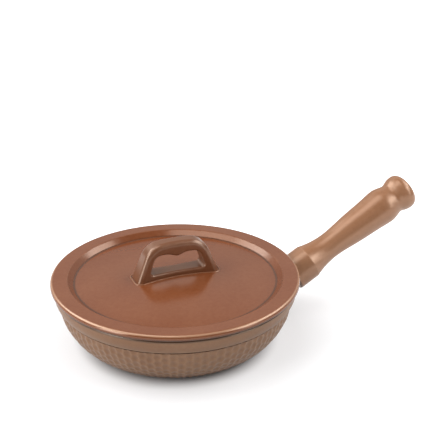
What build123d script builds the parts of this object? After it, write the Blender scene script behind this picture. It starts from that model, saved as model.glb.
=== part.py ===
from build123d import *
from math import cos, radians, sin, sqrt, tan
import os

# A covered frying pan in copper-coloured glazed stoneware.
# Sizes are in millimetres. The pan stands on Z = 0, its axis is Z and its handle points along +X.

# Pan bowl
base_radius = 78.0
rim_radius = 117.0
rim_height = 59.3
rim_wall = 7.0
rim_round = 1.8
floor_thickness = 6.5
floor_radius = 61.5
wall_curve_radius = 54.0
side_height = 7.0
side_lean = 4.5

# Smooth band under the rim, and the small ledge below it where the scooped texture starts
band_height = 14.0
band_bulge = 1.2
band_foot_inset = 3.6
ledge_depth = 1.5
ledge_height = 0.9

# Lid
lid_overhang = 3.0
lid_edge_thickness = 6.3
lid_thickness = 5.5
underside_rise = 5.0
lid_seat_gap = 0.3
flange_width = 16.3
recess_depth = 5.0
recess_wall_width = 6.2
recess_round = 2.2
dome_rise = 7.0
plug_play = 2.2
plug_wall_width = 5.0
plug_round = 2.5
lid_turn = -4.7

# Loop grip on the lid
grip_foot_length = 81.5
grip_top_length = 56.0
grip_height = 34.8
grip_crown = 2.5
grip_shoulder_radius = 21.0
grip_waist_depth = 15.5
grip_foot_depth = 24.0
grip_edge_round = 4.8
grip_hole_round = 2.0
sill_height = 4.5
finger_hole_length = 57.0
finger_hole_top_length = 44.5
finger_hole_height = 18.7
finger_hole_low_round = 3.5
finger_hole_top_round = 8.0
finger_swell_length = 25.0
finger_swell_drop = 3.0
grip_bed_gap = 0.05

# Handle axis: it leaves the pan's rim cylinder at this height and climbs at this angle
handle_root_height = 30.2
handle_rise_angle = 27.1

# Handle profile, as distances along its axis from the rim cylinder and radii
boss_radius = 15.6
boss_end = 10.8
boss_bend_at = -11.0
boss_bend_length = 20.0
boss_fillet = 3.0
gasket_thickness = 3.0
gasket_radius = 15.2
collar_radius = 18.2
collar_length = 22.5
collar_round = 1.6
collar_slope = -0.34
neck_radius = 13.5
neck_at = 64.5
grip_start_radius = 15.8
grip_start_at = 92.0
swell_radius = 18.45
swell_at = 126.0
swell_end_radius = 18.6
swell_end_at = 139.5
waist_radius = 16.4
waist_at = 149.0
flare_radius = 19.2
lip_round = 8.5
lip_at = 161.2
handle_wall = 5.0
collar_web = 9.0
bell_web = 7.0

# Tie rod and its fixings inside the handle
rod_radius = 3.0
rod_end_in_nut = 6.0
rod_end_in_insert = 14.0
rod_clearance = 0.5
thread_clearance = 0.05
insert_radius = 5.5
insert_length = 15.0
insert_groove_depth = 0.8
insert_groove_width = 2.0
cement_gap = 0.1
socket_radius = 8.0
socket_depth = 12.5
seat_play = 0.05
washer_radius = 7.0
washer_thickness = 1.6
spring_washer_radius = 5.6
spring_washer_thickness = 1.5
spring_washer_slot = 1.2
nut_across_flats = 10.0
nut_height = 5.0
nut_dome_height = 3.0
nut_dome_step = 0.4
cut_past = 1.0

# Heights that follow from the sizes above
lid_radius = rim_radius + lid_overhang
lid_underside = rim_height + lid_seat_gap
lid_top = lid_underside + lid_edge_thickness
recess_bottom = lid_top - recess_depth
panel_top = recess_bottom + dome_rise
panel_radius = lid_radius - flange_width - recess_wall_width
band_top = rim_height - rim_round
band_foot = rim_height - band_height
band_foot_radius = rim_radius - band_foot_inset
ledge_radius = band_foot_radius - ledge_depth
ledge_bottom = band_foot - ledge_height
mouth_radius = rim_radius - rim_wall
collar_start = boss_end + gasket_thickness
collar_end = collar_start + collar_length
handle_end = lip_at + lip_round
socket_floor = handle_end - socket_depth
lip_centre = flare_radius - lip_round
washer_start = socket_floor + seat_play
spring_washer_start = washer_start + washer_thickness + seat_play
nut_start = spring_washer_start + spring_washer_thickness + seat_play

rise = radians(handle_rise_angle)
handle_root = Vector(rim_radius, 0, handle_root_height)
handle_direction = Vector(cos(rise), 0, sin(rise))
handle_axis = Axis(handle_root, handle_direction)
handle_plane = Plane(origin=handle_root, x_dir=handle_direction, z_dir=(0, -1, 0))


def turned(outline_plane, lines, axis):
    """A solid of revolution from a closed outline."""
    with BuildPart() as piece:
        with BuildSketch(outline_plane):
            with BuildLine():
                for line in lines:
                    add(line)
            make_face()
        revolve(axis=axis)
    return piece.part


def tube(start, end, radius, bore=0.0):
    """A plain ring or rod on the handle's axis, between two distances along it."""
    low = Vector(start, bore)
    high = Vector(end, radius)
    outline = Polyline((low.X, low.Y), (high.X, low.Y), (high.X, high.Y), (low.X, high.Y), close=True)
    return turned(handle_plane, [outline], handle_axis)


def quarter_point(centre, radius, right, up):
    """The middle of a quarter round about a centre, in the quadrant given by two signs."""
    reach = radius * sqrt(0.5)
    return (centre[0] + right * reach, centre[1] + up * reach)


def bowl_core():
    """The solid outside of the bowl below and behind the band, still without its hollow."""
    foot = (base_radius, 0)
    wall_top = (ledge_radius, ledge_bottom)
    lines = [
        Line((0, 0), foot),
        RadiusArc(foot, wall_top, -wall_curve_radius),
        Line(wall_top, (ledge_radius, band_top)),
        Line((ledge_radius, band_top), (0, band_top)),
        Line((0, band_top), (0, 0)),
    ]
    return turned(Plane.XZ, lines, Axis.Z)


def rim_band():
    """The smooth band with the ledge below it and the rounded rim on top."""
    band_middle = ((band_foot_radius + rim_radius) / 2 + band_bulge, (band_foot + band_top) / 2)
    outer_centre = (rim_radius - rim_round, band_top)
    inner_centre = (mouth_radius + rim_round, band_top)
    lines = [
        Line((floor_radius, ledge_bottom), (ledge_radius, ledge_bottom)),
        Line((ledge_radius, ledge_bottom), (band_foot_radius, band_foot)),
        ThreePointArc((band_foot_radius, band_foot), band_middle, (rim_radius, band_top)),
        ThreePointArc(
            (rim_radius, band_top),
            quarter_point(outer_centre, rim_round, 1, 1),
            (outer_centre[0], rim_height),
        ),
        Line((outer_centre[0], rim_height), (inner_centre[0], rim_height)),
        ThreePointArc(
            (inner_centre[0], rim_height),
            quarter_point(inner_centre, rim_round, -1, 1),
            (mouth_radius, band_top),
        ),
        Line((mouth_radius, band_top), (floor_radius, band_top)),
        Line((floor_radius, band_top), (floor_radius, ledge_bottom)),
    ]
    return turned(Plane.XZ, lines, Axis.Z)


def bowl_hollow():
    """The hollow of the bowl: flat floor, round bend and a side that opens towards the rim."""
    floor_edge = (floor_radius, floor_thickness)
    side_foot = (mouth_radius - side_lean, band_top - side_height)
    lines = [
        Line((0, floor_thickness), floor_edge),
        TangentArc(floor_edge, side_foot, tangent=(1, 0)),
        Line(side_foot, (mouth_radius, band_top)),
        Line((mouth_radius, band_top), (mouth_radius, rim_height)),
        Line((mouth_radius, rim_height), (0, rim_height)),
        Line((0, rim_height), (0, floor_thickness)),
    ]
    return turned(Plane.XZ, lines, Axis.Z)


def boss():
    """The elbow stub that leaves the wall level and bends up into the handle's axis."""
    corner = handle_root + handle_direction * boss_bend_at
    start = Vector(floor_radius, 0, corner.Z)
    end = handle_root + handle_direction * boss_end
    path = FilletPolyline(start, corner, end, radius=boss_bend_length / tan(rise / 2))
    return sweep(Plane(origin=start, z_dir=(1, 0, 0)) * Circle(boss_radius), path=path)


def pan_body():
    """The bowl with its boss, fired as one piece, and the blind hole for the threaded insert."""
    outside = bowl_core() + boss()
    wall_mark = handle_root - handle_direction * boss_radius
    joint = outside.edges().filter_by(GeomType.BSPLINE).sort_by_distance(wall_mark)[0:2]
    outside = fillet(joint, boss_fillet)
    hole_start = boss_end - insert_length - cement_gap
    insert_hole = tube(hole_start, boss_end + cut_past, insert_radius + cement_gap)
    return outside + rim_band() - bowl_hollow() - insert_hole


def handle_insert():
    """Threaded bush cemented in the boss, with two grooves that key it into the cement."""
    bush = tube(boss_end - insert_length, boss_end, insert_radius, rod_radius + thread_clearance)
    for share in (1 / 3, 2 / 3):
        middle = boss_end - insert_length * share
        bush -= tube(
            middle - insert_groove_width / 2,
            middle + insert_groove_width / 2,
            insert_radius + cut_past,
            insert_radius - insert_groove_depth,
        )
    return bush


def handle_gasket():
    """Soft ring squeezed between the boss and the handle's collar."""
    return tube(boss_end, collar_start, gasket_radius, rod_radius + rod_clearance)


def handle_curve(inset):
    """Outline of the handle from the collar to the bell, moved inwards by a wall."""
    return Spline(
        (collar_end, collar_radius - inset),
        (neck_at, neck_radius - inset),
        (grip_start_at, grip_start_radius - inset),
        (swell_at, swell_radius - inset),
        (swell_end_at, swell_end_radius - inset),
        (waist_at, waist_radius - inset),
        (lip_at, flare_radius - inset),
        tangents=[(1, collar_slope), (1, 0)],
    )


def handle_shell():
    """Hollow stoneware handle: collar, neck, swell, waist and a bell end with a rolled lip."""
    collar_corner = collar_start + collar_round
    corner_centre = (collar_corner, collar_radius - collar_round)
    outer = handle_curve(0)
    lines = [
        Line((collar_start, 0), (collar_start, collar_radius - collar_round)),
        ThreePointArc(
            (collar_start, collar_radius - collar_round),
            quarter_point(corner_centre, collar_round, -1, 1),
            (collar_corner, collar_radius),
        ),
        Line((collar_corner, collar_radius), (collar_end, collar_radius)),
        outer,
        ThreePointArc(
            (lip_at, flare_radius),
            quarter_point((lip_at, lip_centre), lip_round, 1, 1),
            (handle_end, lip_centre),
        ),
        Line((handle_end, lip_centre), (handle_end, 0)),
        Line((handle_end, 0), (collar_start, 0)),
    ]
    shell = turned(handle_plane, lines, handle_axis)
    shell -= handle_cavity()
    shell -= tube(collar_start - cut_past, handle_end, rod_radius + rod_clearance)
    shell -= end_socket()
    return shell


def handle_cavity():
    """The hollow that the slip leaves inside the handle, between its two webs."""
    cavity_start = collar_start + collar_web
    cavity_end = socket_floor - bell_web
    core = handle_curve(handle_wall)
    hollow = turned(
        handle_plane,
        [
            Line((cavity_start, 0), (cavity_start, collar_radius - handle_wall)),
            Line((cavity_start, collar_radius - handle_wall), (collar_end, collar_radius - handle_wall)),
            core,
            Line((lip_at, flare_radius - handle_wall), (lip_at, 0)),
            Line((lip_at, 0), (cavity_start, 0)),
        ],
        handle_axis,
    )
    return hollow - tube(cavity_end, lip_at + cut_past, flare_radius)


def end_socket():
    """Round socket in the bell's end, with a rolled mouth, where the nut sits."""
    mouth_roll = lip_centre - socket_radius
    roll_start = handle_end - mouth_roll
    past_end = handle_end + cut_past
    lines = [
        Line((socket_floor, 0), (socket_floor, socket_radius)),
        Line((socket_floor, socket_radius), (roll_start, socket_radius)),
        ThreePointArc(
            (roll_start, socket_radius),
            quarter_point((roll_start, lip_centre), mouth_roll, 1, -1),
            (handle_end, lip_centre),
        ),
        Line((handle_end, lip_centre), (past_end, lip_centre)),
        Line((past_end, lip_centre), (past_end, 0)),
        Line((past_end, 0), (socket_floor, 0)),
    ]
    return turned(handle_plane, lines, handle_axis)


def tie_rod():
    """Steel rod from the insert in the boss to the nut in the bell end."""
    return tube(boss_end - rod_end_in_insert, nut_start + rod_end_in_nut, rod_radius)


def end_washer():
    """Plain washer on the floor of the socket."""
    return tube(washer_start, washer_start + washer_thickness, washer_radius, rod_radius + rod_clearance)


def spring_washer():
    """Split spring washer that takes up the stretch of the hot rod."""
    start = spring_washer_start
    ring = tube(start, start + spring_washer_thickness, spring_washer_radius, rod_radius + rod_clearance)
    slot_centre = handle_plane.from_local_coords(Vector(start, spring_washer_radius, 0))
    slot_plane = Plane(origin=slot_centre, x_dir=handle_direction, z_dir=(0, -1, 0))
    slot = slot_plane * Box(4 * spring_washer_thickness, 2 * spring_washer_radius, spring_washer_slot)
    return ring - slot


def end_nut():
    """Hexagon nut with a low dome that closes over the end of the rod."""
    nut_plane = Plane(
        origin=handle_plane.from_local_coords(Vector(nut_start, 0, 0)),
        x_dir=(0, 1, 0),
        z_dir=handle_direction,
    )
    corner_radius = nut_across_flats / sqrt(3)
    with BuildPart() as nut:
        with BuildSketch(nut_plane):
            RegularPolygon(corner_radius, 6)
        extrude(amount=nut_height)
    dome_start = nut_start + nut_height
    dome_radius = nut_across_flats / 2 - nut_dome_step
    dome = turned(
        handle_plane,
        [
            Line((dome_start, 0), (dome_start, dome_radius)),
            Spline(
                (dome_start, dome_radius),
                (dome_start + nut_dome_height, 0),
                tangents=[(1, 0), (0, -1)],
            ),
            Line((dome_start + nut_dome_height, 0), (dome_start, 0)),
        ],
        handle_axis,
    )
    bore_end = nut_start + rod_end_in_nut + seat_play
    hole = tube(nut_start - cut_past, bore_end, rod_radius + thread_clearance)
    return nut.part + dome - hole


def domed_arc(centre_height, edge_height, edge_radius):
    """A shallow dome's outline, from its crown to its edge, close to a parabola."""
    halfway = (edge_radius / 2, centre_height - (centre_height - edge_height) / 4)
    return ThreePointArc((0, centre_height), halfway, (edge_radius, edge_height))


def lid_plate():
    """Round lid: rolled edge, flat flange, recessed and slightly domed panel, and a plug below."""
    edge_round = lid_edge_thickness / 2
    flange_inner = lid_radius - flange_width
    plug_radius = mouth_radius - plug_play
    plug_bottom = recess_bottom - lid_thickness
    plug_inner = plug_radius - plug_wall_width
    plug_crown = plug_bottom + underside_rise
    flange_corner = (flange_inner, lid_top)
    panel_corner = (panel_radius, recess_bottom)
    plug_corner = (plug_radius, lid_underside)
    under_corner = (plug_inner, plug_bottom)
    lines = [
        Line(flange_corner, (lid_radius - edge_round, lid_top)),
        ThreePointArc(
            (lid_radius - edge_round, lid_top),
            (lid_radius, lid_top - edge_round),
            (lid_radius - edge_round, lid_underside),
        ),
        Line((lid_radius - edge_round, lid_underside), plug_corner),
        Line(plug_corner, under_corner),
        domed_arc(plug_crown, plug_bottom, plug_inner),
        Line((0, plug_crown), (0, panel_top)),
        domed_arc(panel_top, recess_bottom, panel_radius),
        Line(panel_corner, flange_corner),
    ]
    lid = turned(Plane.XZ, lines, Axis.Z)
    rounds = ((flange_corner, recess_round), (panel_corner, recess_round), (under_corner, plug_round))
    for corner, radius in rounds:
        rings = lid.edges().filter_by(lambda edge: edge.is_closed)
        ring = rings.sort_by_distance((corner[0], 0, corner[1]))[0]
        lid = fillet(ring, radius)
    return lid


def panel_bed():
    """The space under the lid's panel surface, which shapes the foot of the grip."""
    top = panel_top + grip_bed_gap
    edge = recess_bottom + grip_bed_gap
    lines = [
        domed_arc(top, edge, panel_radius),
        Line((panel_radius, edge), (panel_radius, 0)),
        Line((panel_radius, 0), (0, 0)),
        Line((0, 0), (0, top)),
    ]
    return turned(Plane.XZ, lines, Axis.Z)


def grip_arch():
    """The grip seen from its broad side: leaning legs, round shoulders and a slightly crowned bar."""
    foot = grip_foot_length / 2
    shoulder = grip_top_length / 2
    shoulder_height = panel_top + grip_height - grip_crown
    root = panel_top - 2 * sill_height
    lean = (foot - shoulder) / (grip_height - grip_crown)
    root_half = foot + lean * (panel_top - root)
    with BuildSketch(Plane.XZ) as arch:
        with BuildLine():
            Line((-root_half, root), (root_half, root))
            Line((root_half, root), (shoulder, shoulder_height))
            ThreePointArc(
                (shoulder, shoulder_height),
                (0, panel_top + grip_height),
                (-shoulder, shoulder_height),
            )
            Line((-shoulder, shoulder_height), (-root_half, root))
        make_face()
        for side in (-1, 1):
            corner = vertices().sort_by_distance((side * shoulder, shoulder_height, 0))[0]
            fillet(corner, grip_shoulder_radius)
    return extrude(arch.sketch, amount=grip_foot_depth, both=True)


def finger_hole():
    """The opening under the bar: a level sill, and a roof that dips in the middle for the finger."""
    low = finger_hole_length / 2
    high = finger_hole_top_length / 2
    sill = panel_top + sill_height
    roof = sill + finger_hole_height
    swell = finger_swell_length / 2
    with BuildSketch(Plane.XZ) as hole:
        with BuildLine():
            Line((-low, sill), (low, sill))
            Line((low, sill), (high, roof))
            Line((high, roof), (swell, roof))
            Spline((swell, roof), (0, roof - finger_swell_drop), (-swell, roof), tangents=[(-1, 0), (-1, 0)])
            Line((-swell, roof), (-high, roof))
            Line((-high, roof), (-low, sill))
        make_face()
        for side in (-1, 1):
            fillet(vertices().sort_by_distance((side * low, sill, 0))[0], finger_hole_low_round)
            fillet(vertices().sort_by_distance((side * high, roof, 0))[0], finger_hole_top_round)
    return extrude(hole.sketch, amount=2 * grip_foot_depth, both=True)


def grip_waists():
    """Two upright cylinders that draw the grip's broad sides in towards the middle."""
    waist = grip_waist_depth / 2
    sag = (grip_foot_depth - grip_waist_depth) / 2
    curve_radius = ((grip_foot_length / 2) ** 2 + sag**2) / (2 * sag)
    side = Cylinder(curve_radius, 4 * grip_height)
    return [Pos(0, sign * (waist + curve_radius), panel_top) * side for sign in (-1, 1)]


def broad_sides(grip):
    """The two faces of the grip that the finger hole goes through."""
    return grip.faces().filter_by(lambda face: len(face.inner_wires()) == 1)


def lid_grip():
    """Closed loop grip: a waisted arch on a sill, rounded all round, whose foot follows the panel."""
    grip = grip_arch() - finger_hole() - grip_waists()
    outer_edges = ShapeList()
    for face in broad_sides(grip):
        outer_edges += face.outer_wire().edges().filter_by(lambda edge: edge.center().Z > panel_top)
    grip = fillet(outer_edges, grip_edge_round)
    hole_edges = ShapeList()
    for face in broad_sides(grip):
        hole_edges += face.inner_wires()[0].edges()
    grip = fillet(hole_edges, grip_hole_round)
    return grip - panel_bed()


pieces = {
    "pan_body": pan_body,
    "handle_insert": handle_insert,
    "handle_gasket": handle_gasket,
    "handle_shell": handle_shell,
    "tie_rod": tie_rod,
    "end_washer": end_washer,
    "spring_washer": spring_washer,
    "end_nut": end_nut,
    "lid_plate": lid_plate,
    "lid_grip": lid_grip,
}

os.makedirs("parts", exist_ok=True)
for name, build in pieces.items():
    solid = build()
    if name.startswith("lid"):
        solid = Rot(0, 0, lid_turn) * solid
    export_step(solid, f"parts/{name}.step")
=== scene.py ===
"""A covered frying pan in copper-coloured stoneware: its finishes, its scooped wall and its studio.

Every length is in metres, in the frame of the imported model. The pan stands on Z = 0, its axis is Z
and its handle points along +X.
"""

import logging
import math
from dataclasses import dataclass, field
from enum import Enum
from functools import cached_property

import bpy
import numpy as np
from bpy.types import ID, Material, Node, NodeTree, Object
from bpy.types import NodeSocket as Socket
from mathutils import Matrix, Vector


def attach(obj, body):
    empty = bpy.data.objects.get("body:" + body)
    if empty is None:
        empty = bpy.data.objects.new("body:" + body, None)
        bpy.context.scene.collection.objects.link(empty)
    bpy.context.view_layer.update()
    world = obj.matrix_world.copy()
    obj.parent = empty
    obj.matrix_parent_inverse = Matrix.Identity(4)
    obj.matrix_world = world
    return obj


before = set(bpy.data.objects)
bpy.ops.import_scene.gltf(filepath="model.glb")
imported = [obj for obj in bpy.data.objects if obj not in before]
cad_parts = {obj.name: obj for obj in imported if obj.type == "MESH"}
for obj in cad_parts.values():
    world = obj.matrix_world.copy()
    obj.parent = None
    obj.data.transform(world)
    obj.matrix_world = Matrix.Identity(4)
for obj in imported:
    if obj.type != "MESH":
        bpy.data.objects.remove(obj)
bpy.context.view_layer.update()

log = logging.getLogger("frying_pan")

Colour = tuple[float, float, float, float]
Triple = tuple[float, float, float]
Span = tuple[float, float]
Value = Socket | float | tuple[float, ...]

WHITE: Colour = (1.0, 1.0, 1.0, 1.0)
FLOAT, VECTOR, COLOUR = "NodeSocketFloat", "NodeSocketVector", "NodeSocketColor"


class Body(Enum):
    """The two things that move apart: the pan with its handle, and the lid with its grip."""

    PAN = "pan"
    LID = "lid"


class Slot(Enum):
    """The record's material slots that the new pieces take their finish from."""

    PAN = "pan_glaze"
    LID = "lid_glaze"


class Grain(Enum):
    """How metal was worked: the factors on X, Y and Z, of which a small one draws the marks out."""

    TURNED = (0.03, 0.03, 1.0)
    DRAWN = (1.0, 1.0, 0.02)


class Nodes:
    """A short way of writing a node tree: each call adds a node or two and feeds their inputs."""

    def __init__(self, tree: NodeTree) -> None:
        """Wraps a node tree.

        Args:
            tree: the material's, the world's or the group's node tree.
        """
        self.tree = tree

    def add(self, kind: str, settings: dict | None = None, **inputs: Value) -> Node:
        """Adds a node.

        Args:
            kind: the node's type name in Blender.
            settings: attributes to set on the node before its inputs.
            inputs: for each input, by its name with spaces as underscores, a socket or a plain value.

        Returns:
            The new node.
        """
        node = self.tree.nodes.new(kind)
        for key, value in (settings or {}).items():
            setattr(node, key, value)
        for key, value in inputs.items():
            self.feed(self.socket(node, key), value)
        return node

    def socket(self, node: Node, key: str) -> Socket:
        """Finds an input by its place, as in_0, or by its name with underscores for spaces.

        Args:
            node: the node that has the input.
            key: in_0, in_1 and so on, or the input's name.

        Returns:
            The input socket.
        """
        if key.startswith("in_"):
            return node.inputs[int(key.removeprefix("in_"))]
        return node.inputs[key.replace("_", " ")]

    def feed(self, socket: Socket, value: Value) -> None:
        """Links an input to another socket, or sets its plain value.

        Args:
            socket: the input.
            value: the socket that it is linked to, or its plain value.
        """
        if isinstance(value, Socket):
            self.tree.links.new(value, socket)
        else:
            socket.default_value = value

    def group(self, tree: NodeTree, **inputs: Value) -> Node:
        """Adds a node group.

        Args:
            tree: the group.
            inputs: its inputs, as for any other node.

        Returns:
            The new node.
        """
        return self.add("ShaderNodeGroup", {"node_tree": tree}, **inputs)

    def maths(self, operation: str, first: Value, second: Value = 0.0, third: Value = 0.0) -> Socket:
        """One Math node.

        Args:
            operation: the node's operation.
            first, second, third: its inputs.

        Returns:
            The result.
        """
        settings = {"operation": operation}
        return self.add("ShaderNodeMath", settings, in_0=first, in_1=second, in_2=third).outputs[0]

    def remap(
        self, value: Value, low: Value, high: Value, to_low: Value = 0.0, to_high: Value = 1.0
    ) -> Socket:
        """A smooth step from one range to another.

        Args:
            value: what is remapped.
            low, high: the start and the end of its range.
            to_low, to_high: what the start and the end become.

        Returns:
            The result, which never leaves the new range.
        """
        settings = {"interpolation_type": "SMOOTHSTEP"}
        return self.add(
            "ShaderNodeMapRange", settings, in_0=value, in_1=low, in_2=high, in_3=to_low, in_4=to_high
        ).outputs[0]

    def fall(self, value: Value, low: Value, high: Value) -> Socket:
        """A smooth step down from 1 to 0.

        Args:
            value: what is remapped.
            low: where the result is still 1.
            high: where the result is 0.

        Returns:
            The result.
        """
        return self.remap(value, low, high, 1.0, 0.0)

    def mix(self, share: Value, first: Value, second: Value) -> Socket:
        """Mixes two colours. The node has its colour inputs after those of its other data types.

        Args:
            share: how much of the second colour is taken.
            first, second: the colours at 0 and at 1.

        Returns:
            The mixed colour.
        """
        settings = {"data_type": "RGBA"}
        return self.add("ShaderNodeMix", settings, in_0=share, in_6=first, in_7=second).outputs[2]

    def noise(self, place: Socket, scale: Value, detail: float = 2.0, roughness: float = 0.5) -> Socket:
        """Cloudy noise about 0.5.

        Args:
            place: the coordinates that it reads.
            scale: how many clouds there are in a metre.
            detail: how many finer layers are laid over it.
            roughness: how strong the finer layers are.

        Returns:
            The noise's value.
        """
        return self.add(
            "ShaderNodeTexNoise", None, Vector=place, Scale=scale, Detail=detail, Roughness=roughness
        ).outputs[0]

    def cells(self, place: Socket, scale: Value, part: str) -> tuple[Socket, Socket]:
        """Voronoi cells, each with a random value.

        Args:
            place: the coordinates that the cells fill.
            scale: how many cells there are in a metre.
            part: Red, Green or Blue, the part of the cell's random colour that gives the value.

        Returns:
            The distance from the cell's middle, and the cell's random value.
        """
        cells = self.add("ShaderNodeTexVoronoi", None, Vector=place, Scale=scale)
        parts = self.add("ShaderNodeSeparateColor", None, Color=cells.outputs["Color"])
        return cells.outputs["Distance"], parts.outputs[part]

    def bump(self, shader: Node, height: Socket, strength: float, distance: float) -> None:
        """Bends a shader's normal.

        Args:
            shader: the shader.
            height: how high each point stands, in steps.
            strength: how much of it shows, up to 1.
            distance: the length of one step.
        """
        bump = self.add("ShaderNodeBump", None, Strength=strength, Distance=distance, Height=height)
        self.feed(shader.inputs["Normal"], bump.outputs[0])


class Groups:
    """Shader node groups that more than one finish uses, each built when it is first asked for.

    The names of its outputs say what each gives. A mask or a value goes from 0 to 1.
    """

    def start(
        self, name: str, inputs: dict[str, tuple[str, Value]], outputs: dict[str, str]
    ) -> tuple[Nodes, Socket, dict[str, Socket], Node]:
        """Makes an empty group, whose first input is Place, the coordinates that it reads.

        Args:
            name: the group's name.
            inputs: for each other input, its socket type and its usual value.
            outputs: for each output, its socket type.

        Returns:
            The group's nodes, its coordinates, its other inputs by name, and its output node.
        """
        tree = bpy.data.node_groups.new(name, "ShaderNodeTree")
        tree.interface.new_socket("Place", in_out="INPUT", socket_type=VECTOR)
        for key, (kind, value) in inputs.items():
            tree.interface.new_socket(key, in_out="INPUT", socket_type=kind).default_value = value
        for key, kind in outputs.items():
            tree.interface.new_socket(key, in_out="OUTPUT", socket_type=kind)
        entry = tree.nodes.new("NodeGroupInput").outputs
        leave = tree.nodes.new("NodeGroupOutput")
        return Nodes(tree), entry["Place"], {key: entry[key] for key in inputs}, leave

    @cached_property
    def cloud(self) -> NodeTree:
        """Glaze of uneven thickness: broad clouds and finer mottling mix three shades of one colour.

        The thickness goes from 0 where the glaze is thin to 1 where it is deep.
        """
        grey = (COLOUR, (0.5, 0.5, 0.5, 1.0))
        nodes, place, given, leave = self.start(
            "glaze_cloud",
            {
                **dict.fromkeys(("Thin", "Body", "Deep"), grey),
                "Clouds per metre": (FLOAT, 18.0),
                "Mottles per metre": (FLOAT, 260.0),
            },
            {"Colour": COLOUR, "Thickness": FLOAT},
        )
        mottled_share = 0.45
        noise_span = (0.36, 0.64)
        even = 0.5
        broad = nodes.noise(place, given["Clouds per metre"], detail=3.0)
        fine = nodes.noise(place, given["Mottles per metre"], detail=4.0, roughness=0.6)
        clouded = nodes.maths("MULTIPLY", broad, 1.0 - mottled_share)
        thickness = nodes.remap(nodes.maths("MULTIPLY_ADD", fine, mottled_share, clouded), *noise_span)
        thin_part = nodes.fall(thickness, 0.0, even)
        deep_part = nodes.remap(thickness, even, 1.0)
        colour = nodes.mix(thin_part, given["Body"], given["Thin"])
        colour = nodes.mix(deep_part, colour, given["Deep"])
        nodes.feed(leave.inputs["Colour"], colour)
        nodes.feed(leave.inputs["Thickness"], thickness)
        return nodes.tree

    @cached_property
    def specks(self) -> NodeTree:
        """Fine metal flakes in the glaze: the middles of those fine cells whose random value is high."""
        nodes, place, given, leave = self.start(
            "glaze_specks",
            {"Specks per metre": (FLOAT, 2600.0)},
            {"Flakes": FLOAT},
        )
        flake_size = (0.12, 0.42)
        flake_chance = (0.72, 0.98)
        distance, chance = nodes.cells(place, given["Specks per metre"], "Red")
        near = nodes.fall(distance, *flake_size)
        bright = nodes.remap(chance, *flake_chance)
        nodes.feed(leave.inputs["Flakes"], nodes.maths("MULTIPLY", bright, near))
        return nodes.tree

    @cached_property
    def skin(self) -> NodeTree:
        """The fired surface: slow ripples where the glaze ran, a fine orange peel and a few pinholes.

        A pinhole is the middle of a cell, in the few cells whose random value is high.
        """
        nodes, place, given, leave = self.start(
            "glaze_skin",
            {
                "Ripple": (FLOAT, 0.00006),
                "Peel": (FLOAT, 0.000006),
                "Pinhole": (FLOAT, 0.00002),
            },
            {"Height": FLOAT},
        )
        ripples_per_metre, dimples_per_metre, cells_per_metre = 55.0, 900.0, 260.0
        pit_size = (0.04, 0.13)
        pit_chance = (0.975, 0.985)
        slow = nodes.noise(place, ripples_per_metre)
        fine = nodes.noise(place, dimples_per_metre)
        height = nodes.maths("MULTIPLY", slow, given["Ripple"])
        height = nodes.maths("MULTIPLY_ADD", fine, given["Peel"], height)
        distance, chance = nodes.cells(place, cells_per_metre, "Blue")
        pit = nodes.maths("MULTIPLY", nodes.fall(distance, *pit_size), nodes.remap(chance, *pit_chance))
        depth = nodes.maths("MULTIPLY", given["Pinhole"], -1.0)
        height = nodes.maths("MULTIPLY_ADD", pit, depth, height)
        nodes.feed(leave.inputs["Height"], height)
        return nodes.tree

    @cached_property
    def ring(self) -> NodeTree:
        """A soft band round an axis: 1 on a circle, falling to 0 at the band's width from it."""
        nodes, place, given, leave = self.start(
            "ring_band",
            {
                "Radius": (FLOAT, 0.1),
                "Height": (FLOAT, 0.0),
                "Width": (FLOAT, 0.002),
            },
            {"Mask": FLOAT},
        )
        x, y, z = nodes.add("ShaderNodeSeparateXYZ", None, Vector=place).outputs
        square = nodes.maths("MULTIPLY_ADD", y, y, nodes.maths("MULTIPLY", x, x))
        out = nodes.maths("SUBTRACT", nodes.maths("SQRT", square), given["Radius"])
        up = nodes.maths("SUBTRACT", z, given["Height"])
        apart = nodes.maths("MULTIPLY_ADD", up, up, nodes.maths("MULTIPLY", out, out))
        nodes.feed(leave.inputs["Mask"], nodes.fall(nodes.maths("SQRT", apart), 0.0, given["Width"]))
        return nodes.tree

    @cached_property
    def worked(self) -> NodeTree:
        """Fine marks of a tool on metal: noise that is drawn out where the stretch's factor is small."""
        nodes, place, given, leave = self.start(
            "tool_marks",
            {
                "Stretch": (VECTOR, (1.0, 1.0, 1.0)),
                "Marks per metre": (FLOAT, 2500.0),
            },
            {"Value": FLOAT},
        )
        noise_span = (0.3, 0.7)
        drawn = nodes.add(
            "ShaderNodeVectorMath", {"operation": "MULTIPLY"}, in_0=place, in_1=given["Stretch"]
        ).outputs[0]
        lines = nodes.noise(drawn, given["Marks per metre"], detail=3.0, roughness=0.7)
        nodes.feed(leave.inputs["Value"], nodes.remap(lines, *noise_span))
        return nodes.tree


groups = Groups()


def start_material(name: str) -> tuple[Material, Nodes, Node]:
    """Makes a material with a plain shader.

    Args:
        name: the material's name.

    Returns:
        The material, its nodes and its shader.
    """
    made = bpy.data.materials.new(name)
    made.use_nodes = True
    return made, Nodes(made.node_tree), made.node_tree.nodes["Principled BSDF"]


@dataclass(frozen=True)
class Axis:
    """A piece's own axis, for patterns that go round it: a point on it and the turn from upright."""

    origin: Triple = (0.0, 0.0, 0.0)
    turn: Triple = (0.0, 0.0, 0.0)

    def place(self, nodes: Nodes) -> Socket:
        """The coordinates of a point on the piece with this axis as Z.

        Args:
            nodes: the material's nodes.

        Returns:
            A vector socket.
        """
        coordinates = nodes.add("ShaderNodeTexCoord")
        mapping = nodes.add(
            "ShaderNodeMapping",
            {"vector_type": "TEXTURE"},
            Vector=coordinates.outputs["Object"],
            Location=self.origin,
            Rotation=self.turn,
        )
        return mapping.outputs[0]


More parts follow.
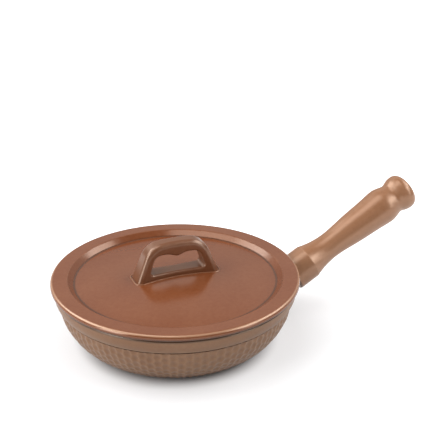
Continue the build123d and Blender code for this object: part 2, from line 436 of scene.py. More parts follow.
@dataclass(frozen=True)
class Ring:
    """A circle round a piece's own axis, along which the glaze runs thin, or a highlight or shade is
    painted.
    """

    radius: float
    height: float
    width: float


@dataclass(frozen=True)
class Glaze:
    """Copper-coloured stoneware glaze: glossy over a warm brown, light where thin, dark where deep.

    It has the edge's colour at rings where the glaze runs thin, and at the lid's rings where a
    highlight is painted; and the near-black colour of painted shade at rings in gaps between parts,
    in corners and in recesses. Where a relief is named, its high values in the span of ridges look
    like edges, and its low ones in the span of hollows are darkened with painted shade. With a shaded
    foot, painted shade darkens the standing face, up to half a millimetre up. A gloss or a dulling
    is what is taken from or added to the roughness.
    """

    name: str
    body: Colour
    thin: Colour
    deep: Colour
    edge: Colour
    painted_shade: Colour
    roughness: float
    gloss_index: float
    metal: float
    ripple: float = 0.00005
    peel: float = 0.000005
    axis: Axis = Axis()
    breaks_and_highlights: tuple[Ring, ...] = ()
    painted_shade_rings: tuple[Ring, ...] = ()
    relief: str = ""
    shaded_foot: bool = False
    sheen: Colour = (1.0, 0.88, 0.74, 1.0)
    foot_shade: Colour = (0.115, 0.070, 0.048, 1.0)
    foot_dulling: float = 0.45
    painted_shade_share: float = 0.90
    edge_share: float = 0.65
    flake_share: float = 0.10
    ridges: Span = (0.25, 0.80)
    ridge_share: float = 0.22
    hollows: Span = (0.0, 0.25)
    hollow_share: float = 0.16
    depth_gloss: float = 0.05
    edge_dulling: float = 0.04

    def material(self) -> Material:
        """Builds the finish.

        The colour is clouded and flecked, darkened with painted shade in gaps, corners, recesses, the
        scoops' hollows and at the foot, and light on the edges where the glaze runs thin, with a painted
        highlight on the lid's edges. The bump is the sum of ripples, orange peel and pinholes.

        Returns:
            The material.
        """
        made, nodes, shader = start_material(self.name)
        place = self.axis.place(nodes)
        cloud = nodes.group(groups.cloud, Place=place, Thin=self.thin, Body=self.body, Deep=self.deep)
        specks = nodes.group(groups.specks, Place=place)
        # Painted shade: a near-black band on the rings in gaps between parts, in corners and in
        # recesses.
        shade_mask = self.rings_mask(nodes, place, self.painted_shade_rings)
        # Edges where the glaze runs thin; on the lid, these rings also hold a painted highlight.
        edges = self.rings_mask(nodes, place, self.breaks_and_highlights)
        if self.relief:
            raised = nodes.add("ShaderNodeAttribute", {"attribute_name": self.relief}).outputs["Fac"]
            ridged = nodes.remap(raised, *self.ridges, 0.0, self.ridge_share)
            edges = nodes.maths("MAXIMUM", edges, ridged)
            # The scoops' hollows are darkened with painted shade.
            hollow = nodes.remap(raised, *self.hollows, self.hollow_share, 0.0)
            shade_mask = nodes.maths("MAXIMUM", shade_mask, hollow)
        colour = cloud.outputs["Colour"]
        for mask, share, tint in (
            (shade_mask, self.painted_shade_share, self.painted_shade),
            (edges, self.edge_share, self.edge),
            (specks.outputs["Flakes"], self.flake_share, self.edge),
        ):
            colour = nodes.mix(nodes.maths("MULTIPLY", mask, share), colour, tint)
        thinnest = self.roughness + self.depth_gloss / 2
        rough = nodes.maths("MULTIPLY_ADD", cloud.outputs["Thickness"], -self.depth_gloss, thinnest)
        rough = nodes.maths("MULTIPLY_ADD", edges, self.edge_dulling, rough)
        # Painted shade at the foot, where the pan meets the floor; the surface there is also rougher.
        if self.shaded_foot:
            foot_shade_mask = self.foot_mask(nodes, place)
            colour = nodes.mix(foot_shade_mask, colour, self.foot_shade)
            rough = nodes.maths("MULTIPLY_ADD", foot_shade_mask, self.foot_dulling, rough)
        nodes.feed(shader.inputs["Base Color"], colour)
        nodes.feed(shader.inputs["Roughness"], rough)
        shader.inputs["Metallic"].default_value = self.metal
        shader.inputs["IOR"].default_value = self.gloss_index
        shader.inputs["Specular Tint"].default_value = self.sheen
        skin = nodes.group(groups.skin, Place=place, Ripple=self.ripple, Peel=self.peel)
        nodes.bump(shader, skin.outputs["Height"], strength=1.0, distance=1.0)
        return made

    def rings_mask(self, nodes: Nodes, place: Socket, rings: tuple[Ring, ...]) -> Value:
        """The largest of the masks of some rings.

        Args:
            nodes: the material's nodes.
            place: the coordinates with the piece's axis as Z.
            rings: the circles that are masked.

        Returns:
            A mask socket, or 0 without rings.
        """
        mask: Value = 0.0
        for ring in rings:
            band = nodes.group(
                groups.ring, Place=place, Radius=ring.radius, Height=ring.height, Width=ring.width
            )
            mask = nodes.maths("MAXIMUM", mask, band.outputs["Mask"])
        return mask

    def foot_mask(self, nodes: Nodes, place: Socket) -> Socket:
        """Painted shade where the pan stands on the floor: the standing face, up to half a millimetre.

        Args:
            nodes: the material's nodes.
            place: the coordinates with the piece's axis as Z.

        Returns:
            The mask, whose upper border wavers a little.
        """
        wavers_per_metre, waver_height = 60.0, 0.0005
        border = (0.0001, 0.0004)
        height = nodes.add("ShaderNodeSeparateXYZ", None, Vector=place).outputs["Z"]
        waver = nodes.maths("MULTIPLY", nodes.noise(place, wavers_per_metre, detail=3.0), waver_height)
        return nodes.fall(nodes.maths("SUBTRACT", height, waver), *border)


@dataclass(frozen=True)
class Metal:
    """Machined metal with fine tool marks, dulled in patches."""

    name: str
    colour: Colour
    dull: Colour
    roughness: float
    grain: Grain
    axis: Axis = Axis()
    patches_per_metre: float = 300.0
    patches: Span = (0.35, 0.65)
    dull_share: float = 0.6
    mark_dulling: float = 0.16
    mark_strength: float = 0.5
    mark_depth: float = 0.00002

    def material(self) -> Material:
        """Builds the finish, whose marks run round a turned piece and along a drawn one.

        Returns:
            The material.
        """
        made, nodes, shader = start_material(self.name)
        place = self.axis.place(nodes)
        marks = nodes.group(groups.worked, Place=place, Stretch=self.grain.value).outputs["Value"]
        patched = nodes.remap(nodes.noise(place, self.patches_per_metre, detail=3.0), *self.patches)
        colour = nodes.mix(nodes.maths("MULTIPLY", patched, self.dull_share), self.colour, self.dull)
        nodes.feed(shader.inputs["Base Color"], colour)
        rough = nodes.maths("MULTIPLY_ADD", marks, self.mark_dulling, self.roughness)
        nodes.feed(shader.inputs["Roughness"], rough)
        shader.inputs["Metallic"].default_value = 1.0
        nodes.bump(shader, marks, self.mark_strength, self.mark_depth)
        return made


@dataclass(frozen=True)
class Rubber:
    """Matt dark brown rubber with a faint mould texture."""

    name: str
    colour: Colour
    worn: Colour
    grains_per_metre: float = 1800.0
    wear: Span = (0.4, 0.7)
    dulling: Span = (0.3, 0.7)
    roughness: Span = (0.62, 0.78)
    grain_strength: float = 0.6
    grain_depth: float = 0.00004

    def material(self) -> Material:
        """Builds the finish.

        Returns:
            The material.
        """
        made, nodes, shader = start_material(self.name)
        grain = nodes.noise(Axis().place(nodes), self.grains_per_metre, detail=3.0)
        colour = nodes.mix(nodes.remap(grain, *self.wear), self.colour, self.worn)
        nodes.feed(shader.inputs["Base Color"], colour)
        nodes.feed(shader.inputs["Roughness"], nodes.remap(grain, *self.dulling, *self.roughness))
        nodes.bump(shader, grain, self.grain_strength, self.grain_depth)
        return made


def full_turn(count: int) -> np.ndarray:
    """Evenly spaced angles round a circle.

    Args:
        count: how many there are.

    Returns:
        The angles in radians, from 0.
    """
    return np.linspace(0.0, math.tau, count, endpoint=False)


def grid_object(name: str, points: np.ndarray, around: bool, along: bool) -> Object:
    """Makes a smooth mesh from a grid of points.

    Each face joins four neighbours of the grid, in the order that makes it point along the cross
    product of the direction of a row and that of a column.

    Args:
        name: the object's name.
        points: the grid, as rows by columns by 3.
        around: whether the last column joins the first.
        along: whether the last row joins the first.

    Returns:
        The new object.
    """
    rows, columns, _ = points.shape
    row = np.arange(rows if along else rows - 1)[:, None]
    column = np.arange(columns if around else columns - 1)[None, :]
    next_row = (row + 1) % rows
    next_column = (column + 1) % columns
    corners = (
        row * columns + column,
        row * columns + next_column,
        next_row * columns + next_column,
        next_row * columns + column,
    )
    faces = np.stack(corners, axis=-1).reshape(-1, len(corners))
    mesh = bpy.data.meshes.new(name)
    mesh.vertices.add(rows * columns)
    mesh.vertices.foreach_set("co", points.astype(np.float32).ravel())
    mesh.loops.add(faces.size)
    mesh.loops.foreach_set("vertex_index", faces.astype(np.int32).ravel())
    mesh.polygons.add(len(faces))
    mesh.polygons.foreach_set("loop_start", np.arange(0, faces.size, len(corners), dtype=np.int32))
    mesh.polygons.foreach_set("use_smooth", np.ones(len(faces), dtype=bool))
    mesh.update(calc_edges=True)
    mesh.validate()
    made = bpy.data.objects.new(name, mesh)
    bpy.context.scene.collection.objects.link(made)
    return made


def dress(node: str, material: Material) -> None:
    """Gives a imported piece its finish.

    Args:
        node: the piece's name.
        material: its finish.
    """
    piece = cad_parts[node]
    piece.data.materials.clear()
    piece.data.materials.append(material)
    log.info("%s is dressed in %s", node, material.name)


def place_piece(piece: Object, body: Body, material: Material) -> None:
    """Gives a new piece its finish and the body that it moves with.

    Args:
        piece: the new piece, already in its place.
        body: what it moves with.
        material: its finish.
    """
    piece.data.materials.append(material)
    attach(piece, body.value)
    log.info("%s rides on %s, with %d faces", piece.name, body.value, len(piece.data.polygons))


def chances(column: np.ndarray, row: np.ndarray) -> tuple[np.ndarray, np.ndarray]:
    """Two values for each place in a pattern that look random and are the same each time.

    Args:
        column: the place's column.
        row: the place's row.

    Returns:
        Two values from 0 to 1.
    """
    column_pitch, row_pitch, gain, second_gain = 12.9898, 78.233, 43758.5453, 57.31
    first = np.sin(column * column_pitch + row * row_pitch) * gain
    first = first - np.floor(first)
    return first, np.mod(first * second_gain, 1.0)


@dataclass
class ScoopedWall:
    """The tooled lower wall of the bowl: rows of shallow scoops, each half a scoop beside the next.

    Its outline is an arc from the foot to the top. A scoop's width and length are in columns and
    rows. The scoops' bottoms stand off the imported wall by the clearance. At the foot and round the
    stub, whose place is its radius and height, there is no tooling and the skin is hidden in it.
    """

    foot_radius: float = 0.078
    top_radius: float = 0.1119
    top_height: float = 0.0444
    curve_radius: float = 0.054
    scoops_round: int = 100
    scoop_rows: float = 7.6
    scoop_depth: float = 0.0019
    scoop_sharpness: float = 9.0
    scoop_width: float = 0.80
    scoop_length: float = 0.92
    jitter: float = 0.14
    depth_jitter: float = 0.08
    ridge_top: float = 0.9
    clearance: float = 0.00005
    root_depth: float = 0.0006
    inner_ends: Span = (0.97, 0.03)
    hidden: float = -0.00012
    stub_place: Span = (0.1005, 0.0230)
    stub_reach: float = 0.0215
    stub_fade: float = 0.004
    foot_fade: float = 0.20
    lowest: float = 0.0002
    plain_relief: float = 0.3
    ridge_relief: float = 0.5
    samples_per_scoop: int = 12
    rows: int = 78

    def curve(self) -> tuple[np.ndarray, float, float]:
        """The wall's outline as an arc through its foot and its top.

        Returns:
            The arc's centre as radius and height, and its angles at the foot and at the top.
        """
        foot = np.array([self.foot_radius, 0.0])
        top = np.array([self.top_radius, self.top_height])
        chord = top - foot
        half = np.linalg.norm(chord) / 2
        inward = np.array([-chord[1], chord[0]]) / (2 * half)
        centre = (foot + top) / 2 + inward * math.sqrt(self.curve_radius**2 - half**2)
        low = math.atan2(*(foot - centre)[::-1])
        high = math.atan2(*(top - centre)[::-1])
        return centre, low, high

    def scoops(self, around: np.ndarray, up: np.ndarray) -> np.ndarray:
        """How high the wall stands between its scoops, from 0 at a scoop's middle to about 1.

        Each scoop is a bowl whose height is the square of the distance from its middle. The wall is
        the smooth least of the bowls of the nearest middles, which are staggered and slightly shifted.

        Args:
            around: each point's place round the wall, in scoops.
            up: each point's place up the wall, in rows.

        Returns:
            The height at each point.
        """
        column = np.floor(around)
        total = np.zeros(np.broadcast(around, up).shape)
        for side in (-1, 0, 1, 2):
            middle_column = column + side
            lane = np.mod(middle_column, self.scoops_round)
            stagger = np.mod(lane, 2) / 2
            nearest = np.round(up - stagger)
            for step in (-1, 0, 1):
                middle_row = nearest + step
                first, second = (chance - 0.5 for chance in chances(lane, middle_row))
                across = around - middle_column + self.jitter * first
                along = up - middle_row - stagger + self.jitter * second
                bowl = (across / self.scoop_width) ** 2 + (along / self.scoop_length) ** 2
                total += np.exp(-self.scoop_sharpness * (bowl + self.depth_jitter * second))
        return -np.log(total) / self.scoop_sharpness

    def faded(
        self, share: np.ndarray, angle: np.ndarray, radius: np.ndarray, level: np.ndarray
    ) -> np.ndarray:
        """How much of the tooling shows: none at the foot and round the stub, all of it elsewhere.

        Args:
            share: how far up the wall each point is, from 0 to 1.
            angle: each point's angle round the bowl.
            radius: each point's distance from the bowl's axis.
            level: each point's height.

        Returns:
            A factor from 0 to 1, which starts and ends smoothly.
        """
        stub_radius, stub_height = self.stub_place
        beside = radius * np.sin(angle)
        beyond = radius * np.cos(angle) - stub_radius
        apart = np.sqrt(beside**2 + beyond**2 + (level - stub_height) ** 2)
        foot = np.clip(share / self.foot_fade, 0.0, 1.0)
        clear = np.clip((apart - self.stub_reach) / self.stub_fade, 0.0, 1.0)
        both = foot * clear
        return both * both * (3 - 2 * both)

    def surface(self) -> tuple[np.ndarray, np.ndarray]:
        """The closed skin: up the scooped outside, then down the plain inside.

        Returns:
            A grid of points, as rows by columns by 3, and the relief at each from 0 to 1.
        """
        centre, low, high = self.curve()
        share = np.linspace(0.0, 1.0, self.rows)[:, None]
        angle = full_turn(self.scoops_round * self.samples_per_scoop)[None, :]
        around = angle / math.tau * self.scoops_round
        height = np.clip(self.scoops(around, share * self.scoop_rows), 0.0, self.ridge_top)
        tilt = low + (high - low) * share
        wall_radius = centre[0] + self.curve_radius * np.cos(tilt)
        wall_level = centre[1] + self.curve_radius * np.sin(tilt)
        fade = self.faded(share, angle, wall_radius, wall_level)
        proud = self.hidden * (1 - fade) + fade * (self.clearance + self.scoop_depth * height)
        ends = np.array(self.inner_ends)[:, None]
        inner = np.full((len(ends), angle.size), self.curve_radius - self.root_depth)
        reach = np.vstack([self.curve_radius + proud, inner])
        lean = np.vstack([tilt, low + (high - low) * ends])
        outside = self.plain_relief + (height / self.ridge_relief - self.plain_relief) * fade
        relief = np.vstack([outside, np.zeros_like(inner)])
        radius = centre[0] + reach * np.cos(lean)
        level = np.maximum(centre[1] + reach * np.sin(lean), self.lowest)
        points = np.stack([radius * np.cos(angle), radius * np.sin(angle), level], axis=-1)
        return points, np.clip(relief, 0.0, 1.0)

    def build(self, finish: Material) -> None:
        """Makes the wall and sets it on the pan.

        Args:
            finish: the pan's glaze, lighter on the relief's ridges and darkened with painted shade in
                its hollows.
        """
        points, relief = self.surface()
        wall = grid_object("scooped_wall", points[:, ::-1], around=True, along=True)
        raised = wall.data.attributes.new("relief", "FLOAT", "POINT")
        raised.data.foreach_set("value", relief[:, ::-1].astype(np.float32).ravel())
        place_piece(wall, Body.PAN, finish)


@dataclass
class Pan:
    """The bowl, its stub, its rubber ring and its handle with the fixings inside.

    The collar's start and end, the lip and the socket's floor are placed along the handle's own axis.
    """

    rim_radius: float = 0.117
    rim_height: float = 0.0593
    rim_wall: float = 0.007
    ledge_radius: float = 0.1134
    ledge_height: float = 0.0453
    handle_root: Triple = (0.117, 0.0, 0.0302)
    handle_rise: float = math.radians(27.1)
    collar_radius: float = 0.0182
    collar_start: float = 0.0138
    collar_end: float = 0.0363
    lip_radius: float = 0.0150
    lip_at: float = 0.1683
    socket_radius: float = 0.0086
    socket_floor: float = 0.1605
    wall: ScoopedWall = field(default_factory=ScoopedWall)

    def handle_axis(self) -> Axis:
        """Finds the handle's own axis.

        Returns:
            The axis, from the handle's root, leaning from upright towards +X.
        """
        return Axis(self.handle_root, (0.0, math.pi / 2 - self.handle_rise, 0.0))

    def body_glaze(self, name: str, relief: str = "") -> Glaze:
        """The glaze of the bowl, thin on its rim and ledge, with painted shade under the lid, under the
        ledge and at its foot.

        Args:
            name: the finish's name.
            relief: the attribute that says where the tooled wall stands high, if it has one.

        Returns:
            The finish.
        """
        return Glaze(
            name=name,
            body=(0.224, 0.106, 0.050, 1.0),
            thin=(0.240, 0.118, 0.058, 1.0),
            deep=(0.208, 0.094, 0.042, 1.0),
            edge=(0.44, 0.27, 0.16, 1.0),
            painted_shade=(0.028, 0.012, 0.006, 1.0),
            roughness=0.34,
            gloss_index=1.74,
            metal=0.12,
            breaks_and_highlights=(
                Ring(self.rim_radius - self.rim_wall / 2, self.rim_height, width=0.0035),
                Ring(self.ledge_radius, self.ledge_height + 0.0006, width=0.0010),
            ),
            # Painted shade: the dark line in the gap under the lid's edge, and the shadow line under the
            # ledge.
            painted_shade_rings=(
                Ring(self.rim_radius + 0.0003, self.rim_height - 0.0008, width=0.0022),
                Ring(self.ledge_radius - 0.0014, self.ledge_height - 0.0010, width=0.0012),
            ),
            relief=relief,
            # Painted shade at the foot.
            shaded_foot=True,
        )

    def handle_glaze(self) -> Glaze:
        """The glaze of the handle, thin on its collar's end and on the bell's lip, with painted shade in
        the end socket and where the collar meets the stub.

        Returns:
            The finish.
        """
        return Glaze(
            name="handle_copper_glaze",
            body=(0.326, 0.150, 0.074, 1.0),
            thin=(0.340, 0.160, 0.081, 1.0),
            deep=(0.311, 0.138, 0.066, 1.0),
            edge=(0.50, 0.31, 0.19, 1.0),
            painted_shade=(0.030, 0.014, 0.008, 1.0),
            roughness=0.30,
            gloss_index=1.82,
            metal=0.12,
            axis=self.handle_axis(),
            breaks_and_highlights=(
                Ring(self.collar_radius + 0.0011, self.collar_end, width=0.0016),
                Ring(self.lip_radius, self.lip_at, width=0.0026),
            ),
            # Painted shade: inside the end socket, and in the dark slit where the collar meets the stub.
            painted_shade_rings=(
                Ring(self.socket_radius, self.socket_floor, width=0.0035),
                Ring(self.collar_radius, self.collar_start - 0.0004, width=0.0024),
            ),
        )

    def build(self) -> None:
        """Dresses the pan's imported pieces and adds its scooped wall."""
        dress("pan_body", self.body_glaze("bowl_copper_glaze").material())
        self.wall.build(self.body_glaze("tooled_copper_glaze", "relief").material())
        dress("handle_shell", self.handle_glaze().material())
        along = self.handle_axis()
        steel = {"colour": (0.56, 0.56, 0.55, 1.0), "dull": (0.44, 0.44, 0.44, 1.0), "axis": along}
        drawn = Metal(name="drawn_steel", roughness=0.28, grain=Grain.DRAWN, **steel)
        turned = Metal(name="turned_steel", roughness=0.24, grain=Grain.TURNED, **steel).material()
        dress("tie_rod", drawn.material())
        for node in ("end_washer", "spring_washer", "end_nut"):
            dress(node, turned)
        brass = Metal(
            name="turned_brass", colour=(0.70, 0.52, 0.26, 1.0), dull=(0.52, 0.37, 0.17, 1.0),
            roughness=0.27, grain=Grain.TURNED, axis=along,
        )
        dress("handle_insert", brass.material())
        rubber = Rubber(
            name="gasket_rubber", colour=(0.030, 0.019, 0.013, 1.0), worn=(0.060, 0.042, 0.032, 1.0)
        )
        dress("handle_gasket", rubber.material())


@dataclass
class FootBead:
    """The thin bead of slip that runs round the grip's foot, a little outside it.

    The waist and the end are half the foot's width, in its middle and at its ends. The panel under
    it falls by its dome's rise from its middle to its radius.
    """

    half_length: float = 0.0412
    waist: float = 0.00775
    end: float = 0.0120
    corner: float = 0.0048
    turn: float = math.radians(-4.7)
    offset: float = 0.0017
    bead_radius: float = 0.00085
    sink: float = 0.0002
    panel_top: float = 0.0679
    panel_radius: float = 0.0975
    dome_rise: float = 0.007
    side_points: int = 60
    corner_points: int = 24
    steps: int = 480
    facets: int = 16

    def outline(self) -> np.ndarray:
        """The foot's outline from above, evenly spaced.

        Its long sides are arcs that come nearer to each other in the middle, its ends are straight
        and its four corners are quarter circles. One corner is worked out and mirrored.

        Returns:
            Points in the grip's own directions, as columns by 2, counter-clockwise.
        """
        sag = self.end - self.waist
        curve = (self.half_length**2 + sag**2) / (2 * sag)
        inner = self.half_length - self.corner
        side = np.linspace(0.0, inner, self.side_points)
        depth = self.waist + curve - np.sqrt(curve**2 - side**2)
        bend = np.linspace(math.pi / 2, 0.0, self.corner_points)[1:]
        middle = np.array([inner, depth[-1] - self.corner])
        corner = middle + self.corner * np.stack([np.cos(bend), np.sin(bend)], axis=-1)
        quarter = np.vstack([np.stack([side, depth], axis=-1), corner])[::-1]
        left = (quarter * (-1.0, 1.0))[::-1]
        upper = np.vstack([quarter, left[1:]])
        closed = np.vstack([upper, -upper, upper[:1]])
        lengths = np.linalg.norm(np.diff(closed, axis=0), axis=1)
        run = np.concatenate([[0.0], np.cumsum(lengths)])
        wanted = np.linspace(0.0, run[-1], self.steps, endpoint=False)
        return np.stack([np.interp(wanted, run, values) for values in closed.T], axis=-1)

    def points(self) -> np.ndarray:
        """The bead: a circle carried along the outline, which lies on the panel's shallow dome.

        The dome's height falls with the square of the distance from the lid's axis.

        Returns:
            A grid of points, as rows round the circle by columns along the outline by 3.
        """
        path = self.outline()
        along = np.roll(path, -1, axis=0) - np.roll(path, 1, axis=0)
        along /= np.linalg.norm(along, axis=1)[:, None]
        outward = np.stack([along[:, 1], -along[:, 0]], axis=-1)
        path = path + outward * self.offset
        swell = full_turn(self.facets)[:, None]
        out = self.bead_radius * np.cos(swell)
        x = path[:, 0] + outward[:, 0] * out
        y = path[:, 1] + outward[:, 1] * out
        dome = self.panel_top - self.dome_rise * (path**2).sum(axis=1) / self.panel_radius**2
        z = dome - self.sink + self.bead_radius * np.sin(swell)
        east = x * math.cos(self.turn) - y * math.sin(self.turn)
        north = x * math.sin(self.turn) + y * math.cos(self.turn)
        return np.stack([east, north, z], axis=-1)

    def build(self, finish: Material) -> None:
        """Makes the bead and sets it on the lid.

        Args:
            finish: the bead's glaze.
        """
        bead = grid_object("grip_foot_bead", self.points()[::-1], around=True, along=True)
        place_piece(bead, Body.LID, finish)


@dataclass
class Lid:
    """The lid's plate and its loop grip, with the bead of slip round the grip's foot."""

    radius: float = 0.120
    top: float = 0.0659
    edge_thickness: float = 0.0063
    flange_width: float = 0.0163
    recess_wall: float = 0.0062
    recess_depth: float = 0.005
    # The bead's glaze is the grip's made lighter by this factor: a painted highlight along the foot.
    bead_highlight_lift: float = 1.35
    bead: FootBead = field(default_factory=FootBead)

    def plate_glaze(self) -> Glaze:
        """The lid's glaze: redder than the bowl's, thin and with a painted highlight on its edge, and
        darkened with painted shade under its edge and in its recess's corner.

        Returns:
            The finish.
        """
        corner = self.radius - self.flange_width
        return Glaze(
            name="lid_copper_glaze",
            body=(0.199, 0.058, 0.020, 1.0),
            thin=(0.211, 0.065, 0.024, 1.0),
            deep=(0.187, 0.051, 0.016, 1.0),
            edge=(0.58, 0.35, 0.22, 1.0),
            painted_shade=(0.022, 0.008, 0.003, 1.0),
            roughness=0.19,
            gloss_index=1.72,
            metal=0.10,
            # Thin glaze with a painted highlight: the light line along the edge's top and along the
            # recess's top corner.
            breaks_and_highlights=(
                Ring(self.radius - 0.0013, self.top - 0.0006, width=0.0017),
                Ring(corner - 0.0004, self.top + 0.0010, width=0.0015),
            ),
            # Painted shade: the dark gap under the lid's edge, and a dark line in the recess's corner.
            painted_shade_rings=(
                Ring(self.radius - 0.0002, self.top - self.edge_thickness + 0.0002, width=0.0038),
                Ring(corner - self.recess_wall, self.top - self.recess_depth - 0.0008, width=0.0026),
            ),
        )

    def grip_glaze(self, name: str, highlight_lift: float = 1.0) -> Glaze:
        """The grip's glaze, a little browner than the plate's, or a lighter copy of it that paints a
        highlight.

        Args:
            name: the finish's name.
            highlight_lift: how much lighter it is than the grip's own, as a factor.

        Returns:
            The finish.
        """
        return Glaze(
            name=name,
            body=(0.176 * highlight_lift, 0.063 * highlight_lift, 0.026 * highlight_lift, 1.0),
            thin=(0.188 * highlight_lift, 0.070 * highlight_lift, 0.031 * highlight_lift, 1.0),
            deep=(0.165 * highlight_lift, 0.057 * highlight_lift, 0.022 * highlight_lift, 1.0),
            edge=(0.48, 0.28, 0.17, 1.0),
            painted_shade=(0.100, 0.030, 0.012, 1.0),
            roughness=0.31,
            gloss_index=1.90,
            metal=0.12,
            ripple=0.00002,
            peel=0.000003,
        )

    def build(self) -> None:
        """Dresses the lid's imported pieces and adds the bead."""
        dress("lid_plate", self.plate_glaze().material())
        dress("lid_grip", self.grip_glaze("grip_copper_glaze").material())
        # The bead takes a lighter copy of the grip's glaze: a painted highlight round the grip's foot.
        self.bead.build(self.grip_glaze("bead_highlight_glaze", self.bead_highlight_lift).material())


def direction(azimuth: float, elevation: float) -> Vector:
    """The way from the object to something that stands round it.

    Args:
        azimuth: its angle from -Y towards +X, in radians.
        elevation: its angle above the floor, in radians.

    Returns:
        A vector of length 1.
    """
    level = math.cos(elevation)
    return Vector((math.sin(azimuth) * level, -math.cos(azimuth) * level, math.sin(elevation)))


def stand(name: str, data: ID, place: Vector, back: Vector) -> Object:
    """Stands a camera or a lamp in its place.

    Args:
        name: the object's name.
        data: the camera or the lamp.
        place: where it stands.
        back: the direction that it faces away from.

    Returns:
        The new object.
    """
    made = bpy.data.objects.new(name, data)
    made.location = place
    made.rotation_mode = "QUATERNION"
    made.rotation_quaternion = (-back).to_track_quat("-Z", "Y")
    bpy.context.scene.collection.objects.link(made)
    return made


@dataclass(frozen=True)
class Softbox:
    """A studio lamp that faces the object.

    Its azimuth is counted from the camera towards the camera's right, and its width and height are
    as seen from the object. All its angles are in degrees.
    """

    name: str
    azimuth: float
    elevation: float
    width: float
    height: float
    radiance: float
    distance: float = 2.4

    def build(self, target: Vector, heading: float) -> None:
        """Hangs the lamp.

        Args:
            target: the point that it faces.
            heading: the camera's azimuth in radians, from which the lamp's is counted.
        """
        towards = direction(heading + math.radians(self.azimuth), math.radians(self.elevation))
        data = bpy.data.lights.new(self.name, "AREA")
        data.shape = "RECTANGLE"
        data.size, data.size_y = (
            2 * self.distance * math.tan(math.radians(angle) / 2) for angle in (self.width, self.height)
        )
        data.energy = self.radiance * math.pi * data.size * data.size_y
        stand(self.name, data, target + towards * self.distance, towards)


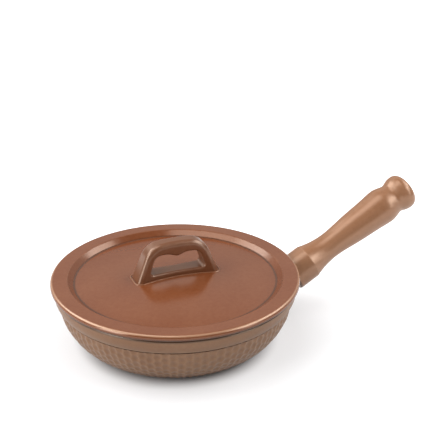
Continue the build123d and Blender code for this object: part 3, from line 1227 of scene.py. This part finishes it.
@dataclass
class Studio:
    """White floor, white backdrop, soft lamps and the camera at the photograph's angle.

    Each of the two steps of the floor's glow has the distances at which it starts and ends, and the
    light that it adds. The backdrop's spans are parts of a unit direction: the part away from the
    camera for its sides, and the part upwards for its rise and its top.
    """

    heading: float = math.radians(-26.35)
    elevation: float = math.radians(23.5)
    camera_place: Triple = (-0.3561, -0.8049, 0.5104)
    lens: float = 85.37
    sensor: float = 36.0
    clip: Span = (0.01, 100.0)
    target: Triple = (0.0, 0.0, 0.05)
    floor_colour: Colour = (0.55, 0.55, 0.56, 1.0)
    floor_roughness: float = 0.9
    floor_rings: tuple[float, ...] = (0.0005, 0.5, 2.0, 12.0)
    floor_sides: int = 96
    floor_glow: tuple[Triple, Triple] = ((0.082, 0.104, 0.44), (0.11, 0.34, 0.65))
    mirrored_share: float = 0.55
    room: float = 0.15
    horizon: float = 0.26
    backdrop: float = 0.70
    backdrop_sides: Span = (-0.05, 0.45)
    backdrop_rise: Span = (0.05, 0.60)
    backdrop_top: Span = (0.62, 0.90)
    softboxes: tuple[Softbox, ...] = (
        Softbox("left_softbox", azimuth=-102.0, elevation=41.0, width=52.0, height=28.0, radiance=4.4),
        Softbox("right_softbox", azimuth=98.0, elevation=42.0, width=54.0, height=28.0, radiance=4.0),
        Softbox("top_softbox", azimuth=-80.0, elevation=75.0, width=34.0, height=34.0, radiance=2.4),
        Softbox("left_strip", azimuth=-54.0, elevation=20.0, width=22.0, height=44.0, radiance=5.8),
        Softbox("right_strip", azimuth=66.0, elevation=24.0, width=18.0, height=40.0, radiance=3.0),
    )

    def camera(self) -> None:
        """Sets the camera, level and turned as the photograph's was."""
        data = bpy.data.cameras.new("camera")
        data.lens = self.lens
        data.sensor_width = self.sensor
        data.clip_start, data.clip_end = self.clip
        back = direction(self.heading, self.elevation)
        bpy.context.scene.camera = stand("camera", data, Vector(self.camera_place), back)

    def floor(self) -> None:
        """Lays a round white floor that keeps the object's shadow and is white away from it.

        The glow added to the diffuse floor grows with the distance from the object. The camera sees
        all of it and reflections show a share of it, but it lights nothing.
        """
        angle = full_turn(self.floor_sides)[None, :]
        radius = np.array(self.floor_rings)[:, None]
        x, y = radius * np.cos(angle), radius * np.sin(angle)
        flat = np.stack([x, y, np.zeros_like(x)], axis=-1)
        floor = grid_object("floor", flat[:, ::-1], around=True, along=False)
        made, nodes, shader = start_material("white_floor")
        shader.inputs["Base Color"].default_value = self.floor_colour
        shader.inputs["Roughness"].default_value = self.floor_roughness
        shader.inputs["Specular IOR Level"].default_value = 0.0
        coordinates = nodes.add("ShaderNodeTexCoord")
        away = nodes.add(
            "ShaderNodeVectorMath", {"operation": "LENGTH"}, in_0=coordinates.outputs["Object"]
        ).outputs["Value"]
        near, far = (nodes.remap(away, start, end, 0.0, light) for start, end, light in self.floor_glow)
        grow = nodes.maths("ADD", near, far)
        path = nodes.add("ShaderNodeLightPath")
        mirrored = nodes.maths("MULTIPLY", path.outputs["Is Glossy Ray"], self.mirrored_share)
        seen = nodes.maths("MAXIMUM", path.outputs["Is Camera Ray"], mirrored)
        shader.inputs["Emission Color"].default_value = WHITE
        nodes.feed(shader.inputs["Emission Strength"], nodes.maths("MULTIPLY", seen, grow))
        floor.data.materials.append(made)

    def surroundings(self) -> None:
        """Lights the world: white to the camera, and to all else a pale backdrop in a dim room.

        The backdrop stands behind the object. It is dim at the floor and lightest at half height.
        """
        world = bpy.data.worlds.new("studio")
        world.use_nodes = True
        bpy.context.scene.world = world
        nodes = Nodes(world.node_tree)
        background = world.node_tree.nodes["Background"]
        way = nodes.add("ShaderNodeTexCoord").outputs["Generated"]
        height = nodes.add("ShaderNodeSeparateXYZ", None, Vector=way).outputs["Z"]
        ahead = (-math.sin(self.heading), math.cos(self.heading), 0.0)
        facing = nodes.add(
            "ShaderNodeVectorMath", {"operation": "DOT_PRODUCT"}, in_0=way, in_1=ahead
        ).outputs["Value"]
        behind = nodes.remap(facing, *self.backdrop_sides)
        behind = nodes.maths("MULTIPLY", behind, nodes.fall(height, *self.backdrop_top))
        wall = nodes.remap(height, *self.backdrop_rise, self.horizon, self.backdrop)
        light = nodes.maths("MULTIPLY_ADD", behind, nodes.maths("SUBTRACT", wall, self.room), self.room)
        seen = nodes.add("ShaderNodeLightPath").outputs["Is Camera Ray"]
        strength = nodes.add("ShaderNodeMix", None, in_0=seen, in_2=light, in_3=1.0).outputs[0]
        background.inputs["Color"].default_value = WHITE
        nodes.feed(background.inputs["Strength"], strength)

    def build(self) -> None:
        """Sets up the camera, the floor, the surroundings and the lamps."""
        bpy.context.scene.view_settings.view_transform = "Standard"
        self.camera()
        self.floor()
        self.surroundings()
        for softbox in self.softboxes:
            softbox.build(Vector(self.target), self.heading)
        log.info("studio: camera, floor and %d softboxes", len(self.softboxes))


def main() -> None:
    """Builds the pan, the lid and the studio, in that order."""
    logging.basicConfig(level=logging.INFO, format="%(message)s")
    Pan().build()
    Lid().build()
    Studio().build()


if __name__ == "__main__":
    main()
